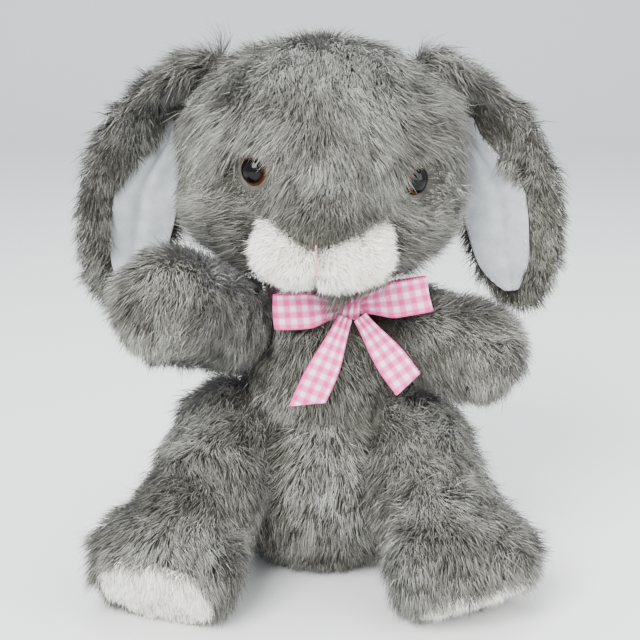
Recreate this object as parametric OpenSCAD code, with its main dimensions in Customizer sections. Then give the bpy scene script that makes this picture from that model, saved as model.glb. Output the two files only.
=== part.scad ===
// Seated stuffed rabbit: fur-fabric shells over soft filling, with hanging ears, one raised arm,
// splayed legs and a ribbon bow at the neck.
// Millimetres, +Z up. The rabbit looks along -Y, so its own right side is on -X.
// The origin is the centre of the flat seat under the torso.
// Each soft solid is the fur fabric with its pile pressed down.

/* [Torso] */
// Radius of the torso at the belly
belly_r = 46; // [44:0.5:47]
// Height of the belly's centre above the seat
belly_z = 40; // [39:0.5:42]
// Radius of the torso at the chest
chest_r = 35; // [34:0.5:36]
// Height of the chest's centre above the seat
chest_z = 87; // [86:0.5:88]

/* [Head] */
// Radius of the head, seen from above
head_r = 58; // [56:0.5:59]
// Height of the head's centre above the seat
head_z = 186; // [185:0.5:188]
// Half the height of the head
head_half = 50.5; // [49:0.5:51]
// How square the head's outline is, 2 being an ellipse
head_fullness = 2.35; // [2.2:0.05:2.5]

/* [Eyes] */
// Diameter of the eye's dome
eye_d = 13; // [11:0.5:14]
// Diameter of the locking washer behind the eye
washer_d = 16; // [15:0.5:17]

/* [Arms] */
// Radius of the arm where it joins the shoulder
shoulder_r = 17; // [16:0.5:17.5]
// Radius of the raised paw
raised_paw_r = 22; // [20:0.5:22.5]
// Radius of the lowered paw
lowered_paw_r = 20; // [18:0.5:20.5]

/* [Legs] */
// Radius of the leg where it joins the hip
hip_r = 26; // [24:0.5:26.5]
// Radius of the foot
foot_r = 23; // [22:0.5:23]

/* [Ribbon] */
// Width of the ribbon
ribbon_w = 15; // [13:0.5:15]
// Thickness of the ribbon
ribbon_t = 0.6; // [0.5:0.1:0.8]

/* [Fabric] */
// Thickness of the fur fabric
skin = 2; // [1.5:0.25:2.5]
// Gap between two pieces that move on each other
running_gap = 0.6; // [0.5:0.1:0.8]

/* [Hidden] */

// Left and right are as seen from in front of the rabbit: left is on -X.
// Slight gap between pieces that are sewn or glued together
seam_gap = 0.1;
// Gap between the filling and the fabric around it
filling_gap = 0.2;
round_fn = 48;
soft_fn = 20;
torso_fn = 36;
rod_step = 0.3;
cushion_steps = 7;
belly_steps = 6;
chest_steps = 4;
dome_steps = 4;
fur = "#84847e";
cream = "#ebebe1";
lining = "#cdd0d4";
filler = "#f4f4f0";
pink = "#eb82a5";

// Neck
neck = [0, 0, 140];
neck_r = 24;
dome_r = 30;
dome_z = 139;
// The fabric is open at the top of the neck, where it is gathered
throat_r = 10;

// Head
head_centre = [1, -4, head_z];

// Muzzle: one pad each side of a sewn crease
crease_x = -1.5;
crease_half = 0.5;
pad_r = 13;
pad_taper = 0.5;
pad_inner_left = [-9, -62, 152];
pad_outer_left = [-19, -55, 159];
pad_inner_right = [6, -62, 151.5];
pad_outer_right = [22, -54, 158.5];
thread_r = 0.7;
crease_arc_r = 12.3;
// Angle of the arc that the thread takes down the front of the crease
crease_sweep = 130;
crease_centre = [crease_x, -62.5, 152.5];

// Eyes: centre of the dome's back, and the way it faces
eye_left_at = [-26.5, -53, 187];
eye_left_out = [-27.5, -51, 4];
eye_right_at = [39.5, -45.5, 182];
eye_right_out = [38.5, -43, -1];
dome_height = 4.5;
eye_steps = 8;
shank_r = 2;
shank_length = 10;
washer_t = 2.5;
washer_back = 2.4;
washer_bore_gap = 0.05;
// How far a cutting cylinder runs past each face that it goes through
overcut = 1;

// Ears: root of the left ear, and stations down its middle as centre, turn and half width
ear_root = [-41, 4, 222];
ear_root_r = 8;
EAR_STATIONS = [
    [[-46, 4, 226.5], 0, 7],
    [[-57, 4, 224], 8, 12],
    [[-70, 3, 213], 28, 16.5],
    [[-79, 2, 196], 50, 20],
    [[-83.5, 1, 177], 62, 21.5],
    [[-86, 0, 158], 67, 21.5],
    [[-88, -1, 141], 68, 18],
    [[-90, -2, 128], 68, 12],
    [[-91, -2, 120], 68, 4]
];
ear_back_t = 5;
ear_lining_t = 2;
ear_curl = 0.22;
ear_across = 6;
// The lining's inner and outer edges, as shares of the ear's half width
lining_inner = -0.94;
lining_outer = 0.4;

// Arms: shoulder and paw centres
shoulder_left = [-37, -6, 112];
paw_left = [-62, -54, 132];
shoulder_right = [38, -5, 110];
paw_right = [68, -30, 104];
arm_left_low = -40;
arm_left_high = 8;
arm_right_low = -12;
arm_right_high = 20;

// Legs: hip centres, the two ends of each foot, and the way each sole faces
hip_left = [-38, -12, 59.5];
foot_left_outer = [-71, -68, 24];
foot_left_inner = [-56, -74, 23.5];
sole_left_out = [-0.3, -0.8, -0.5];
hip_right = [37, -12, 59];
foot_right_outer = [67, -68, 24];
foot_right_inner = [52, -74, 23.5];
sole_right_out = [0.3, -0.5, -0.81];
leg_high = 20;
ankle_r = foot_r - 0.5;
sole_depth = 14;
sole_t = 3;
far = 100;

// Tail
tail_at = [0, 50, 32];
tail_r = 13;

// Bow: knot, loops and tails, at the front of the neck
// Bottom of the ribbon round the neck, and how much narrower its gathers make it
ribbon_z = 124.5;
neck_gather = 2;
knot_at = [13, -31.5, 126];
knot_r = 5.5;
knot_length = 11;
loop_depth = 4;
loop_length = 24;
loop_steps = 8;
knot_gap = 0.8;
loop_rise_left = -1;
loop_rise_right = 2;
// How far the right loop rises towards its end
loop_tilt = 12;
bow_y = -31.5;
tail_pivot_left = [11, -39, 121];
tail_pivot_right = [17, -39, 121];
tail_length = 38;
tail_cut = 3;
tail_lean = 13;
tail_swing_left = 20;
tail_swing_right = 35;
tail_neck_w = 5;

function unit(v) = v / norm(v);

// Points along an arc in the half plane that is turned round Z
function arc(centre_z, r, from, to, steps) =
    [for (i = [0 : steps])
        let (a = from + (to - from) * i / steps)
        [r * cos(a), centre_z + r * sin(a)]];

// Half outline of a full, rounded cushion
function cushion_outline(r, half, fullness) =
    [for (i = [-cushion_steps : cushion_steps])
        let (
            a = 90 * i / cushion_steps,
            c = pow(cos(a), 2 / fullness),
            s = pow(abs(sin(a)), 2 / fullness)
        )
        [r * c, a < 0 ? -half * s : half * s]];

// Half outline of the torso: seat, belly, chest, neck, and the dome inside the head
function torso_outline(inset) =
    let (
        belly = belly_r - inset,
        chest = chest_r - inset,
        throat = neck_r - inset,
        dome = dome_r - inset,
        lean = asin((belly - chest) / (chest_z - belly_z))
    )
    concat(
        [[0, inset]],
        arc(belly_z, belly, -asin((belly_z - inset) / belly), lean, belly_steps),
        arc(chest_z, chest, lean, acos(throat / chest), chest_steps),
        [[throat, dome_z + inset]],
        arc(neck.z, dome, asin((dome_z + inset - neck.z) / dome), 90, dome_steps)
    );

// Turns +Z to a direction
module along(direction) {
    rotate([0, acos(direction.z / norm(direction)), atan2(direction.y, direction.x)])
        children();
}

// Turns its children round an axis through a point
module swung(point, axis, angle) {
    translate(point)
        rotate(angle, axis)
            translate(-point)
                children();
}

// Mirrors its children left to right when the side is 1
module on_side(side) {
    if (side > 0) mirror([1, 0, 0]) children();
    else children();
}

// A tapered rod with two round ends; its side stands slightly proud of the ends
module rod(from, to, r_from, r_to) {
    translate(from) sphere(r = r_from, $fn = round_fn);
    translate(to) sphere(r = r_to, $fn = round_fn);
    translate(from)
        along(to - from)
            cylinder(r1 = r_from + rod_step, r2 = r_to + rod_step, h = norm(to - from), $fn = round_fn);
}

// ---- Head ----

module head_form(inset) {
    translate(head_centre)
        rotate_extrude($fn = round_fn)
            polygon(cushion_outline(head_r - inset, head_half - inset, head_fullness));
}

module pad(inner, outer, grow) {
    rod(inner, outer, pad_r + grow, pad_r - pad_taper + grow);
}

// The head with its pockets for the neck, ear roots, muzzle pads and eyes
module head_solid(inset) {
    difference() {
        head_form(inset);
        translate(neck) sphere(r = dome_r + running_gap + inset, $fn = round_fn);
        for (side = [-1, 1])
            on_side(side)
                translate(ear_root) sphere(r = ear_root_r + running_gap + inset, $fn = round_fn);
        pad(pad_inner_left, pad_outer_left, seam_gap + inset);
        pad(pad_inner_right, pad_outer_right, seam_gap + inset);
    }
}

module head_shell() {
    color(fur)
        difference() {
            head_solid(0);
            head_solid(skin);
            eye(eye_left_at, eye_left_out, seam_gap);
            eye(eye_right_at, eye_right_out, seam_gap);
        }
}

module head_filling() {
    color(filler)
        difference() {
            head_solid(skin + filling_gap);
            for (place = [[eye_left_at, eye_left_out], [eye_right_at, eye_right_out]]) {
                eye(place[0], place[1], filling_gap);
                washer_room(place[0], place[1]);
            }
        }
}

// The thread's room, an arc in the plane of the crease that bulges forward
module muzzle_crease(grow) {
    translate(crease_centre)
        rotate([0, 90, 0])
            rotate([0, 0, 270 - crease_sweep / 2])
                rotate_extrude(angle = crease_sweep, $fn = round_fn)
                    translate([crease_arc_r, 0]) circle(r = thread_r + grow, $fn = round_fn);
}

module muzzle_pad(inner, outer, side) {
    difference() {
        pad(inner, outer, 0);
        translate([side > 0 ? crease_x + crease_half - far : crease_x - crease_half, -far, head_z - far])
            cube([far, far, far]);
        muzzle_crease(seam_gap);
    }
}

module muzzle_left() {
    color(cream) muzzle_pad(pad_inner_left, pad_outer_left, -1);
}

module muzzle_right() {
    color(cream) muzzle_pad(pad_inner_right, pad_outer_right, 1);
}

module muzzle_seam() {
    color(pink) muzzle_crease(0);
}

// A domed plastic eye on a shank that goes through the fabric
module eye(at, out, grow) {
    rim_r = eye_d / 2;
    ball_r = (rim_r * rim_r + dome_height * dome_height) / (2 * dome_height);
    half = asin(rim_r / ball_r);
    dome = [for (i = [0 : eye_steps])
        let (a = half * (1 - i / eye_steps))
        [(ball_r + grow) * sin(a), dome_height - ball_r + (ball_r + grow) * cos(a)]];
    shank = [[0, -shank_length - grow], [shank_r + grow, -shank_length - grow], [shank_r + grow, -grow]];
    translate(at)
        along(out)
            rotate_extrude($fn = round_fn)
                polygon(concat(shank, [[rim_r + grow, -grow]], dome));
}

module eye_left() {
    color("#141010") eye(eye_left_at, eye_left_out, 0);
}

module eye_right() {
    color("#141010") eye(eye_right_at, eye_right_out, 0);
}

module washer(at, out) {
    translate(at)
        along(out)
            translate([0, 0, -washer_back - washer_t])
                difference() {
                    cylinder(r = washer_d / 2, h = washer_t, $fn = round_fn);
                    translate([0, 0, -overcut])
                        cylinder(r = shank_r + washer_bore_gap, h = washer_t + 2 * overcut, $fn = round_fn);
                }
}

module washer_room(at, out) {
    translate(at)
        along(out)
            translate([0, 0, -washer_back - washer_t - filling_gap])
                cylinder(r = washer_d / 2 + filling_gap, h = far, $fn = round_fn);
}

module eye_washer_left() {
    color("white") washer(eye_left_at, eye_left_out);
}

module eye_washer_right() {
    color("white") washer(eye_right_at, eye_right_out);
}

// ---- Ears ----

function ear_tangent(i) =
    unit(EAR_STATIONS[min(i + 1, len(EAR_STATIONS) - 1)][0] - EAR_STATIONS[max(i - 1, 0)][0]);

function ear_breadth(i) =
    let (t = ear_tangent(i), turn = EAR_STATIONS[i][1], w = [-sin(turn), -cos(turn), 0])
    unit(w - (w * t) * t);

function ear_point(i, across, lift) =
    let (
        w = ear_breadth(i),
        n = cross(w, ear_tangent(i)),
        half = EAR_STATIONS[i][2]
    )
    EAR_STATIONS[i][0] + w * half * across + n * (ear_curl * half * across * across + lift);

// One layer of the ear, between two distances from the ear's middle surface and two edges
module ear_layer(low, high, inner = -1, outer = 1) {
    rows = len(EAR_STATIONS);
    ring = 2 * (ear_across + 1);
    points = [for (i = [0 : rows - 1]) for (k = [0 : ring - 1])
        k <= ear_across
            ? ear_point(i, inner + (outer - inner) * k / ear_across, high)
            : ear_point(i, inner + (outer - inner) * (ring - 1 - k) / ear_across, low)];
    walls = [for (i = [0 : rows - 2]) for (k = [0 : ring - 1])
        let (next = (k + 1) % ring)
        for (half = [0, 1])
            half == 0
                ? [i * ring + k, (i + 1) * ring + next, i * ring + next]
                : [i * ring + k, (i + 1) * ring + k, (i + 1) * ring + next]];
    ends = [for (k = [0 : ear_across - 1]) for (row = [0, rows - 1]) for (half = [0, 1])
        let (
            base = row * ring,
            a = base + k,
            b = base + k + 1,
            c = base + ring - 2 - k,
            d = base + ring - 1 - k,
            face = half == 0 ? [a, b, c] : [a, c, d]
        )
        row == 0 ? face : [face[0], face[2], face[1]]];
    polyhedron(points = points, faces = concat(walls, ends), convexity = 4);
}

module ear_back(side) {
    on_side(side) {
        ear_layer(-ear_back_t, 0);
        translate(ear_root) sphere(r = ear_root_r, $fn = round_fn);
    }
}

module ear_lining(side) {
    on_side(side)
        difference() {
            ear_layer(seam_gap, ear_lining_t, lining_inner, lining_outer);
            translate(ear_root) sphere(r = ear_root_r + seam_gap, $fn = round_fn);
        }
}

module ear_left_back() {
    color(fur) ear_back(-1);
}

module ear_left_lining() {
    color(lining) ear_lining(-1);
}

module ear_right_back() {
    color(fur) ear_back(1);
}

module ear_right_lining() {
    color(lining) ear_lining(1);
}

// ---- Arms ----

module arm_left_form(grow) {
    rod(shoulder_left, paw_left, shoulder_r + grow, raised_paw_r + grow);
}

module arm_right_form(grow) {
    rod(shoulder_right, paw_right, shoulder_r + grow, lowered_paw_r + grow);
}

module arm_left_shell() {
    color(fur)
        difference() {
            arm_left_form(0);
            arm_left_form(-skin);
        }
}

module arm_left_filling() {
    color(filler) arm_left_form(-skin - filling_gap);
}

module arm_right_shell() {
    color(fur)
        difference() {
            arm_right_form(0);
            arm_right_form(-skin);
        }
}

module arm_right_filling() {
    color(filler) arm_right_form(-skin - filling_gap);
}

// ---- Legs ----

function ankle(outer, inner) = (outer + inner) / 2;

module beyond_sole(outer, inner, out, depth) {
    translate(ankle(outer, inner))
        along(out)
            translate([0, 0, depth])
                cylinder(r = far, h = far, $fn = round_fn);
}

module leg_form(hip, outer, inner, out, inset) {
    difference() {
        union() {
            rod(hip, ankle(outer, inner), hip_r - inset, ankle_r - inset);
            rod(outer, inner, foot_r - inset, ankle_r - inset);
        }
        beyond_sole(outer, inner, out, sole_depth - inset);
    }
}

module leg_shell(hip, outer, inner, out) {
    difference() {
        leg_form(hip, outer, inner, out, 0);
        leg_form(hip, outer, inner, out, skin);
    }
}

module sole(outer, inner, out) {
    difference() {
        rod(outer, inner, foot_r, ankle_r);
        beyond_sole(outer, inner, out, sole_depth + sole_t);
        translate(ankle(outer, inner))
            along(out)
                translate([0, 0, sole_depth + seam_gap - far])
                    cylinder(r = far, h = far, $fn = round_fn);
    }
}

module leg_left_shell() {
    color(fur) leg_shell(hip_left, foot_left_outer, foot_left_inner, sole_left_out);
}

module leg_left_filling() {
    color(filler)
        leg_form(hip_left, foot_left_outer, foot_left_inner, sole_left_out, skin + filling_gap);
}

module sole_left() {
    color(cream) sole(foot_left_outer, foot_left_inner, sole_left_out);
}

module leg_right_shell() {
    color(fur) leg_shell(hip_right, foot_right_outer, foot_right_inner, sole_right_out);
}

module leg_right_filling() {
    color(filler)
        leg_form(hip_right, foot_right_outer, foot_right_inner, sole_right_out, skin + filling_gap);
}

module sole_right() {
    color(cream) sole(foot_right_outer, foot_right_inner, sole_right_out);
}

// ---- Torso ----

module torso_form(inset) {
    rotate_extrude($fn = torso_fn)
        polygon(torso_outline(inset));
}

// Room for a limb to swing, as two fans that meet halfway through its travel
module limb_room(joint, end, r_joint, r_end, low, high, grow) {
    middle = (low + high) / 2;
    clear = 2 * running_gap + grow;
    for (fan = [[low, middle], [middle, high]])
        hull() {
            translate(joint) sphere(r = r_joint + clear, $fn = soft_fn);
            for (angle = fan)
                swung(joint, lift_axis(joint, end), angle)
                    translate(end)
                        sphere(r = r_end + clear, $fn = soft_fn);
        }
}

module limb_rooms(grow) {
    limb_room(shoulder_left, paw_left, shoulder_r, raised_paw_r, arm_left_low, arm_left_high, grow);
    limb_room(shoulder_right, paw_right, shoulder_r, lowered_paw_r, arm_right_low, arm_right_high, grow);
    limb_room(hip_left, ankle(foot_left_outer, foot_left_inner), hip_r, ankle_r, 0, leg_high, grow);
    limb_room(hip_right, ankle(foot_right_outer, foot_right_inner), hip_r, ankle_r, 0, leg_high, grow);
}

// The level line square to a limb; a positive turn lifts the limb's end
function lift_axis(joint, end) = cross([end.x - joint.x, end.y - joint.y, 0], [0, 0, 1]);

module torso_solid(inset) {
    difference() {
        torso_form(inset);
        limb_rooms(inset);
        translate(tail_at) sphere(r = tail_r + running_gap + inset, $fn = soft_fn);
    }
}

module torso_shell() {
    color(fur)
        difference() {
            torso_solid(0);
            torso_solid(skin);
            translate(neck) cylinder(r = throat_r, h = far, $fn = soft_fn);
        }
}

module torso_filling() {
    color(filler) torso_solid(skin + filling_gap);
}

module tail() {
    color(fur) translate(tail_at) sphere(r = tail_r, $fn = round_fn);
}

// ---- Ribbon ----

module neck_ribbon() {
    color(pink)
        translate([0, 0, ribbon_z])
            difference() {
                cylinder(r = neck_r + seam_gap + ribbon_t, h = ribbon_w - neck_gather, $fn = round_fn);
                translate([0, 0, -overcut])
                    cylinder(r = neck_r + seam_gap, h = ribbon_w + 2 * overcut, $fn = round_fn);
            }
}

module bow_knot() {
    color(pink)
        translate(knot_at - [0, 0, knot_length / 2])
            cylinder(r = knot_r, h = knot_length, $fn = round_fn);
}

// A teardrop from the knot outwards, in plan
function loop_outline(inset) =
    [for (i = [0 : 2 * loop_steps])
        let (
            s = i / loop_steps,
            x = s <= 1 ? s : 2 - s,
            y = loop_depth * sin(90 * sqrt(x)) * sqrt(max(0, 1 - x * x))
        )
        [inset + (loop_length - 2 * inset) * x, (s <= 1 ? 1 : -1) * max(0, y - inset)]];

module bow_loop(x, z, tilt, turn) {
    translate([x, bow_y, z])
        rotate([0, tilt, 0])
            rotate([0, 0, turn])
                translate([0, 0, -ribbon_w / 2])
                    linear_extrude(height = ribbon_w)
                        difference() {
                            polygon(loop_outline(0));
                            polygon(loop_outline(ribbon_t));
                        }
}

module bow_loop_left() {
    color(pink) bow_loop(knot_at.x - knot_r - knot_gap, knot_at.z + loop_rise_left, 0, 180);
}

module bow_loop_right() {
    color(pink) bow_loop(knot_at.x + knot_r + knot_gap, knot_at.z + loop_rise_right, -loop_tilt, 0);
}

// A flat tail that hangs from the knot, with a slanted end
module bow_tail(pivot, swing, cut) {
    translate(pivot)
        rotate([-tail_lean, 0, 0])
            rotate([0, swing, 0])
                rotate([90, 0, 0])
                    linear_extrude(height = ribbon_t)
                        polygon([
                            [-tail_neck_w / 2, 0],
                            [-ribbon_w / 2, -tail_length / 3],
                            [-ribbon_w / 2, -tail_length - cut],
                            [ribbon_w / 2, -tail_length + cut],
                            [ribbon_w / 2, -tail_length / 3],
                            [tail_neck_w / 2, 0]
                        ]);
}

module bow_tail_left() {
    color(pink) bow_tail(tail_pivot_left, tail_swing_left, tail_cut);
}

module bow_tail_right() {
    color(pink) bow_tail(tail_pivot_right, -tail_swing_right, -tail_cut);
}

torso_shell();
torso_filling();
tail();
neck_ribbon();
bow_knot();
bow_loop_left();
bow_loop_right();
bow_tail_left();
bow_tail_right();
head_shell();
head_filling();
muzzle_left();
muzzle_right();
muzzle_seam();
eye_left();
eye_right();
eye_washer_left();
eye_washer_right();
ear_left_back();
ear_left_lining();
ear_right_back();
ear_right_lining();
arm_left_shell();
arm_left_filling();
arm_right_shell();
arm_right_filling();
leg_left_shell();
leg_left_filling();
sole_left();
leg_right_shell();
leg_right_filling();
sole_right();
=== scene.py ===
"""A seated plush rabbit.

Stuffed skins under long grey pile, velour-lined ears, safety eyes and a gingham bow.
"""

import itertools
import math

import bmesh
import bpy
import numpy as np
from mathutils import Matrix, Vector
from mathutils.kdtree import KDTree


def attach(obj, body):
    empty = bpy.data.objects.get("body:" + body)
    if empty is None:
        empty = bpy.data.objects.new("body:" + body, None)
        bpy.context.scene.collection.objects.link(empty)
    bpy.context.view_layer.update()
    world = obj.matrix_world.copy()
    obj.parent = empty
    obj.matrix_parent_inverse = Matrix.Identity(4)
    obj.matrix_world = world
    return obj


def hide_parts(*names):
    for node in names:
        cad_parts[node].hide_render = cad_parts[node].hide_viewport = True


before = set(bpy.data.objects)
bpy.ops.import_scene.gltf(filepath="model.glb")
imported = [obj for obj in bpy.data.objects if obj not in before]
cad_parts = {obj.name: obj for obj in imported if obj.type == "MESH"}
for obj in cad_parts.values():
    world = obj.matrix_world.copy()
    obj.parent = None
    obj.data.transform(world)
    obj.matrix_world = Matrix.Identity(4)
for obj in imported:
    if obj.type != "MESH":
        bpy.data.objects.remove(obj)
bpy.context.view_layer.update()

MM = 0.001
scene = bpy.context.scene


# ---- Driving dimensions, in millimetres, close to the CAD's ----
# A ball is (centre, radius), and a rod or chain goes from ball to ball.

HEAD_CENTRE = np.array([1, -4, 186.0])
HEAD_R = 58
HEAD_HALF = 50.5
HEAD_FULLNESS = 2.35
CREASE_X = -1.5

BELLY = ((0, 0, 40), 46)
CHEST = ((0, 0, 87), 35)
NECK = ((0, 0, 140), 24)

SHOULDER_LEFT = ((-36, -8, 112), 19)
PAW_LEFT = ((-62, -54, 132), 22)
SHOULDER_RIGHT = ((37, -6, 110), 18.5)
PAW_RIGHT = ((68, -30, 104), 20)

HIP_LEFT = ((-38, -12, 59.5), 26)
FOOT_LEFT = (((-71, -68, 24), 23), ((-56, -74, 23.5), 22.5))
HIP_RIGHT = ((37, -12, 59), 26)
FOOT_RIGHT = (((67, -68, 24), 23), ((52, -74, 23.5), 22.5))
SOLE_OUT = {"left": (-0.3, -0.8, -0.5), "right": (0.3, -0.5, -0.81)}
SOLE_DEPTH = 14

# Three balls for each pad of the muzzle
PADS = {
    "left": (((-8, -62, 151.5), 11.6), ((-15.5, -59.5, 154.5), 12.2), ((-15, -55, 164), 10.4)),
    "right": (((5, -62, 151), 11.8), ((17.5, -58.5, 153.5), 12.6), ((17.5, -55, 163.5), 10.8)),
}

# Centre of each eye's base, and the way it faces
EYES = {
    "left": ((-26.5, -53, 187), (-27.5, -51, 4)),
    "right": ((39.5, -45.5, 182), (38.5, -43, -1)),
}
EYE_R = 6.5
EYE_DOME = 4.5

TAIL = ((0, 50, 32), 12)

# Down the middle of the left ear: centre, turn in degrees, half width
EAR_STATIONS = [
    ((-43, 4, 225.5), 0, 6),
    ((-57, 4, 224), 8, 12),
    ((-70, 3, 213), 28, 16.5),
    ((-79, 2, 196), 50, 20),
    ((-83.5, 1, 177), 62, 21.5),
    ((-86, 0, 158), 67, 21.5),
    ((-88, -1, 141), 68, 18),
    ((-90, -2, 128), 68, 12),
    ((-91, -2, 120), 68, 4),
]
EAR_CURL = 0.22

RIBBON_W = 15
RIBBON_T = 0.5
# The heights between which the neck ribbon presses the pile down
BAND = (120, 138)
KNOT_AT = (13, -34, 125)


# ---- Small mathematics ----

HASH_PRIMES = (73856093, 19349663, 83492791)
HASH_SEED = 2654435761
HASH_MIX = 1274126177
LOW_BITS = 0xFFFFFFFF


def unit(vectors):
    """Each row scaled to length 1."""
    vectors = np.asarray(vectors, float)
    return vectors / np.maximum(np.linalg.norm(vectors, axis=-1, keepdims=True), 1e-9)


def dots(a, b):
    """Row by row dot product, as a column."""
    return (a * b).sum(-1, keepdims=True)


def smoothstep(value, low, high):
    t = np.clip((value - low) / (high - low), 0, 1)
    return t * t * (3 - 2 * t)


def lattice_noise(points, size, seed):
    """Smooth noise from -1 to 1, with features about size across."""
    place = points / size
    cell = np.floor(place).astype(np.int64)
    part = place - cell
    part = part * part * (3 - 2 * part)
    total = np.zeros(len(points))
    for corner in itertools.product((0, 1), repeat=3):
        x, y, z = ((cell + np.array(corner)) * HASH_PRIMES).T
        mixed = x ^ y ^ z ^ (seed * HASH_SEED)
        mixed = (mixed ^ (mixed >> 13)) * HASH_MIX & LOW_BITS
        weight = np.prod(np.where(corner, part, 1 - part), axis=1)
        total += weight * ((mixed ^ (mixed >> 16)) / LOW_BITS * 2 - 1)
    return total


def noise_vectors(points, size, seed):
    return np.stack([lattice_noise(points, size, seed + k) for k in range(3)], axis=1)


def rod_distance(points, start, end):
    """Distance in millimetres from a tapered rod with round ends."""
    a, b = np.array(start[0], float), np.array(end[0], float)
    along = np.clip((points - a) @ (b - a) / ((b - a) @ (b - a)), 0, 1)
    nearest = a + along[:, None] * (b - a)
    return np.linalg.norm(points - nearest, axis=1) - (start[1] + along * (end[1] - start[1]))


def chain_distance(points, chain):
    """Distance from the nearest of a chain's rods."""
    return np.min([rod_distance(points, a, b) for a, b in zip(chain, chain[1:])], axis=0)


def head_distance(points):
    """Roughly the distance in millimetres from the head's plain cushion form."""
    p = points - HEAD_CENTRE
    level = (np.hypot(p[:, 0], p[:, 1]) / HEAD_R) ** HEAD_FULLNESS
    upright = np.abs(p[:, 2] / HEAD_HALF) ** HEAD_FULLNESS
    return ((level + upright) ** (1 / HEAD_FULLNESS) - 1) * HEAD_HALF


def bump(points, centre, spread):
    """A soft bell of height 1 round a centre, with its own spread along each axis."""
    return np.exp(-0.5 * (((points - np.array(centre)) / np.array(spread)) ** 2).sum(1))


def push(points, centre, spread, move):
    """A soft bell's share of a move, for each point."""
    return bump(points, centre, spread)[:, None] * move


def steps_along(line):
    """How far along a line each of its points is."""
    return np.concatenate([[0], np.cumsum(np.linalg.norm(np.diff(line, axis=0), axis=1))])


# ---- Mesh handling ----

def read_points(mesh, field="co"):
    flat = np.zeros(len(mesh.vertices) * 3, np.float32)
    mesh.vertices.foreach_get(field, flat)
    return flat.reshape(-1, 3).astype(float)


def write_points(mesh, points):
    mesh.vertices.foreach_set("co", np.asarray(points, np.float32).ravel())
    mesh.update()


def point_values(mesh, name, kind, field, values):
    """Stores a value or vector on each of a mesh's points."""
    stored = mesh.attributes.new(name, kind, "POINT")
    stored.data.foreach_set(field, np.asarray(values, np.float32).ravel())


def new_object(name, data, *materials):
    piece = bpy.data.objects.new(name, data)
    scene.collection.objects.link(piece)
    for material in materials:
        data.materials.append(material)
    return piece


def smooth_object(name, points, faces, material):
    """A smooth-shaded piece from points in millimetres."""
    mesh = bpy.data.meshes.new(name)
    mesh.from_pydata((np.asarray(points) * MM).tolist(), [], faces)
    mesh.update()
    piece = new_object(name, mesh, material)
    mesh.shade_smooth()
    return piece


def settle(piece):
    """Applies every modifier on a piece."""
    depsgraph = bpy.context.evaluated_depsgraph_get()
    mesh = bpy.data.meshes.new_from_object(piece.evaluated_get(depsgraph), depsgraph=depsgraph)
    piece.modifiers.clear()
    old = piece.data
    piece.data = mesh
    bpy.data.meshes.remove(old)
    mesh.shade_smooth()


def with_modifier(piece, kind, **settings):
    modifier = piece.modifiers.new(kind, kind)
    for key, value in settings.items():
        setattr(modifier, key, value)
    settle(piece)


def declare(piece, body, slot, *nodes, fill=None):
    """Hides the CAD parts a piece replaces and hangs it on the body that carries it; slot and fill
    are not used.
    """
    if nodes:
        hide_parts(*nodes)
    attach(piece, body)


def loft(rings, caps=True):
    """Points and faces of a surface through rings of equally many points."""
    rows, count = len(rings), len(rings[0])
    faces = []
    for i in range(rows - 1):
        for k in range(count):
            n = (k + 1) % count
            faces.append((i * count + k, i * count + n, (i + 1) * count + n, (i + 1) * count + k))
    if caps:
        faces.append(tuple(reversed(range(count))))
        faces.append(tuple((rows - 1) * count + k for k in range(count)))
    return np.concatenate(rings), faces


# ---- Materials ----

def linear(rgb):
    """The shader's colour for an 8-bit sRGB one."""
    parts = [c / 255 for c in rgb]
    lit = [c / 12.92 if c <= 0.04045 else ((c + 0.055) / 1.055) ** 2.4 for c in parts]
    return (*lit, 1.0)


def plain(name, rgb, roughness, **sockets):
    material = bpy.data.materials.new(name)
    material.use_nodes = True
    shader = material.node_tree.nodes["Principled BSDF"]
    shader.inputs["Base Color"].default_value = linear(rgb)
    shader.inputs["Roughness"].default_value = roughness
    for key, value in sockets.items():
        shader.inputs[key.replace("_", " ")].default_value = value
    return material


class Nodes:
    """Short calls for building a material's nodes."""

    def __init__(self, material):
        self.tree = material.node_tree
        self.shader = self.tree.nodes["Principled BSDF"]

    def add(self, kind, **settings):
        node = self.tree.nodes.new("ShaderNode" + kind)
        for key, value in settings.items():
            setattr(node, key, value)
        return node

    def link(self, out, into):
        self.tree.links.new(out, into)

    def place(self):
        """Coordinates in millimetres that stay with the mesh."""
        scale = self.add("VectorMath", operation="SCALE")
        scale.inputs["Scale"].default_value = 1 / MM
        self.link(self.add("TexCoord").outputs["Object"], scale.inputs[0])
        return scale.outputs[0]

    def noise(self, size, detail=2.0):
        node = self.add("TexNoise")
        node.inputs["Scale"].default_value = 1 / size
        node.inputs["Detail"].default_value = detail
        self.link(self.place(), node.inputs["Vector"])
        return node.outputs["Fac"]

    def coloured(self, factor, stops):
        """The base colour as a ramp over a factor."""
        node = self.add("ValToRGB")
        elements = node.color_ramp.elements
        while len(elements) < len(stops):
            elements.new(0.5)
        for element, (position, rgb) in zip(elements, stops):
            element.position = position
            element.color = linear(rgb)
        self.link(factor, node.inputs["Fac"])
        self.link(node.outputs["Color"], self.shader.inputs["Base Color"])

    def math(self, operation, a, b=None):
        node = self.add("Math", operation=operation)
        for socket, value in zip(node.inputs, (a, b)):
            if isinstance(value, (int, float)):
                socket.default_value = value
            elif value is not None:
                self.link(value, socket)
        return node.outputs[0]

    def plus(self, a, b):
        return self.math("ADD", a, b)

    def times(self, a, b):
        return self.math("MULTIPLY", a, b)

    def bumped(self, height, strength, distance):
        node = self.add("Bump")
        node.inputs["Strength"].default_value = strength
        node.inputs["Distance"].default_value = distance * MM
        self.link(height, node.inputs["Height"])
        self.link(node.outputs[0], self.shader.inputs["Normal"])


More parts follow.
